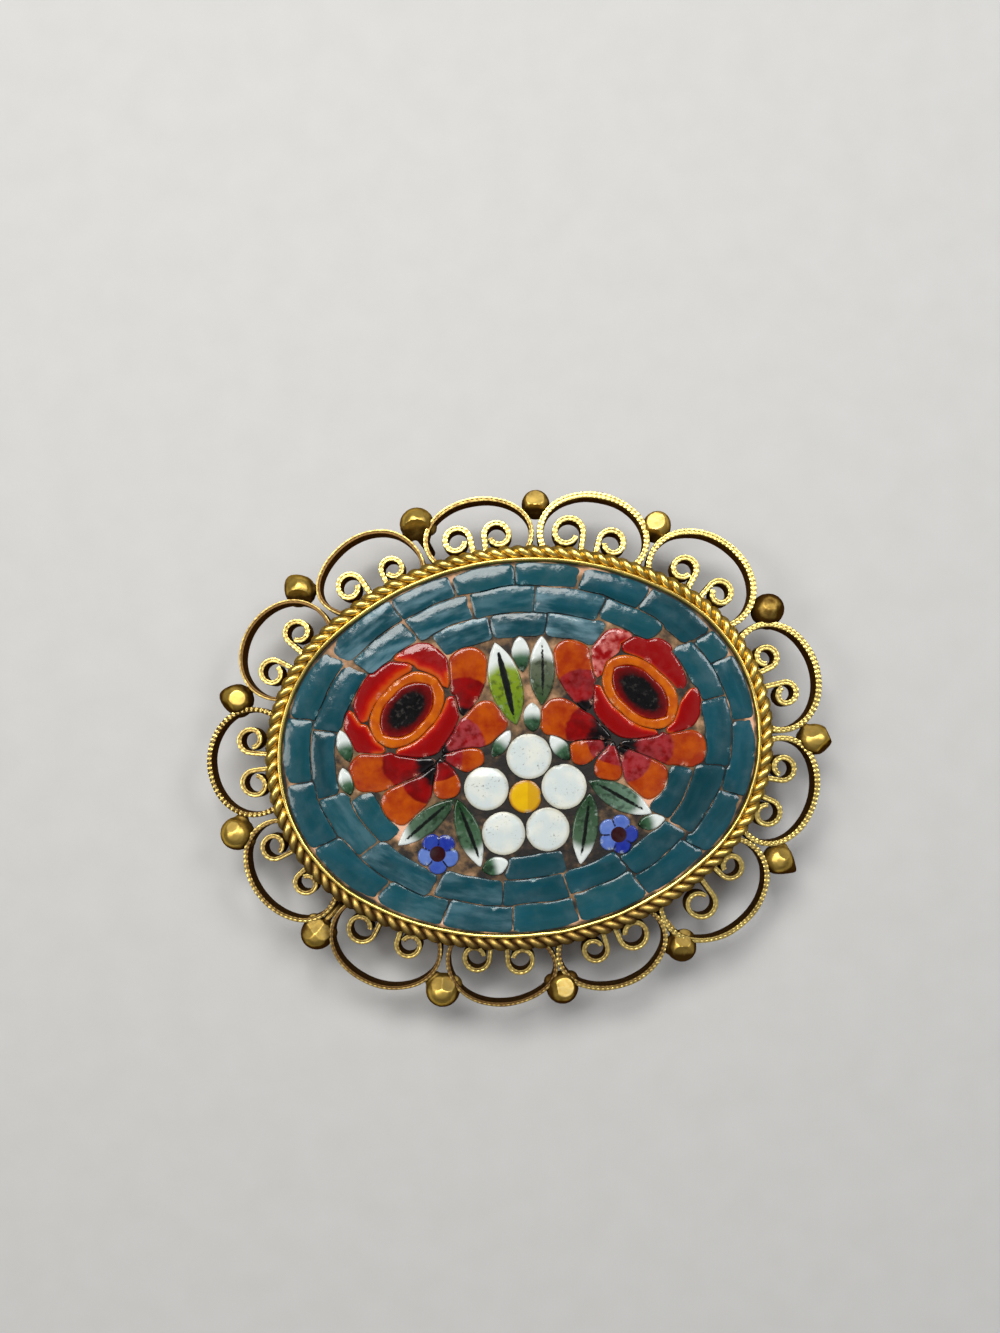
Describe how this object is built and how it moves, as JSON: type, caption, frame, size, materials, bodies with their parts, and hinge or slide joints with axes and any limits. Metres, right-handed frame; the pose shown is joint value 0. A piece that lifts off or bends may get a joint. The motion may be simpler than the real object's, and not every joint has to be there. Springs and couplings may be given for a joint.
{
  "type": "micromosaic brooch",
  "caption": "Oval gilt brass brooch with a glass mosaic of roses and small flowers, a rope rim and a scalloped wirework border.",
  "frame": {"origin": "middle of the oval, on the surface that the brooch lies on", "axes": "+X along the oval's length, towards the pin's point; +Y across it, towards the top of the mosaic; +Z out of the mosaic's face"},
  "size_m": [0.0449, 0.0371, 0.0056],
  "materials": {
    "gilt_brass": "polished gilt, darkened in the recesses",
    "pin_brass": "plain gilt, lightly worn",
    "mastic": "matt pink-beige cement",
    "teal_glass": "opaque glass, polished, with bluish-grey clouds",
    "red_glass": "opaque glass, polished, deep red with an orange inner edge",
    "amber_glass": "opaque glass, polished",
    "maroon_glass": "opaque glass, polished, with a charcoal middle",
    "orange_glass": "opaque glass, polished, from orange to dark red at the tip",
    "white_glass": "opaque glass, polished, with fine specks",
    "yellow_glass": "opaque glass, polished",
    "blue_glass": "opaque glass, polished, with a dark red middle",
    "olive_glass": "opaque glass, polished",
    "leaf_glass": "opaque glass, polished, dark midrib and white tip",
    "small_leaf_glass": "opaque glass, polished, half green and half white"
  },
  "bodies": {
    "root": {"blue_flower_left": "blue_glass", "blue_flower_right": "blue_glass", "cement_bed": "mastic", "field_tesserae": "teal_glass", "leaf_bud_grey": "leaf_glass", "leaf_bud_yellow": "olive_glass", "leaf_left_inner": "leaf_glass", "leaf_left_outer": "leaf_glass", "leaf_right_inner": "leaf_glass", "leaf_right_outer": "leaf_glass", "petal_left_1": "orange_glass", "petal_left_2": "orange_glass", "petal_left_3": "orange_glass", "petal_left_4": "orange_glass", "petal_left_5": "orange_glass", "petal_left_6": "orange_glass", "petal_right_1": "orange_glass", "petal_right_2": "orange_glass", "petal_right_3": "orange_glass", "petal_right_4": "orange_glass", "petal_right_5": "orange_glass", "petal_right_6": "orange_glass", "pin_clasp": "pin_brass", "rose_left_heart": "maroon_glass", "rose_left_petal_1": "red_glass", "rose_left_petal_2": "red_glass", "rose_left_petal_3": "red_glass", "rose_left_petal_4": "red_glass", "rose_left_ring": "amber_glass", "rose_right_heart": "maroon_glass", "rose_right_petal_1": "red_glass", "rose_right_petal_2": "red_glass", "rose_right_petal_3": "red_glass", "rose_right_petal_4": "red_glass", "rose_right_ring": "amber_glass", "setting": "gilt_brass", "small_leaves": "small_leaf_glass", "white_disc_left": "white_glass", "white_disc_lower_left": "white_glass", "white_disc_lower_right": "white_glass", "white_disc_right": "white_glass", "white_disc_top": "white_glass", "yellow_centre": "yellow_glass"}
  },
  "joints": []
}
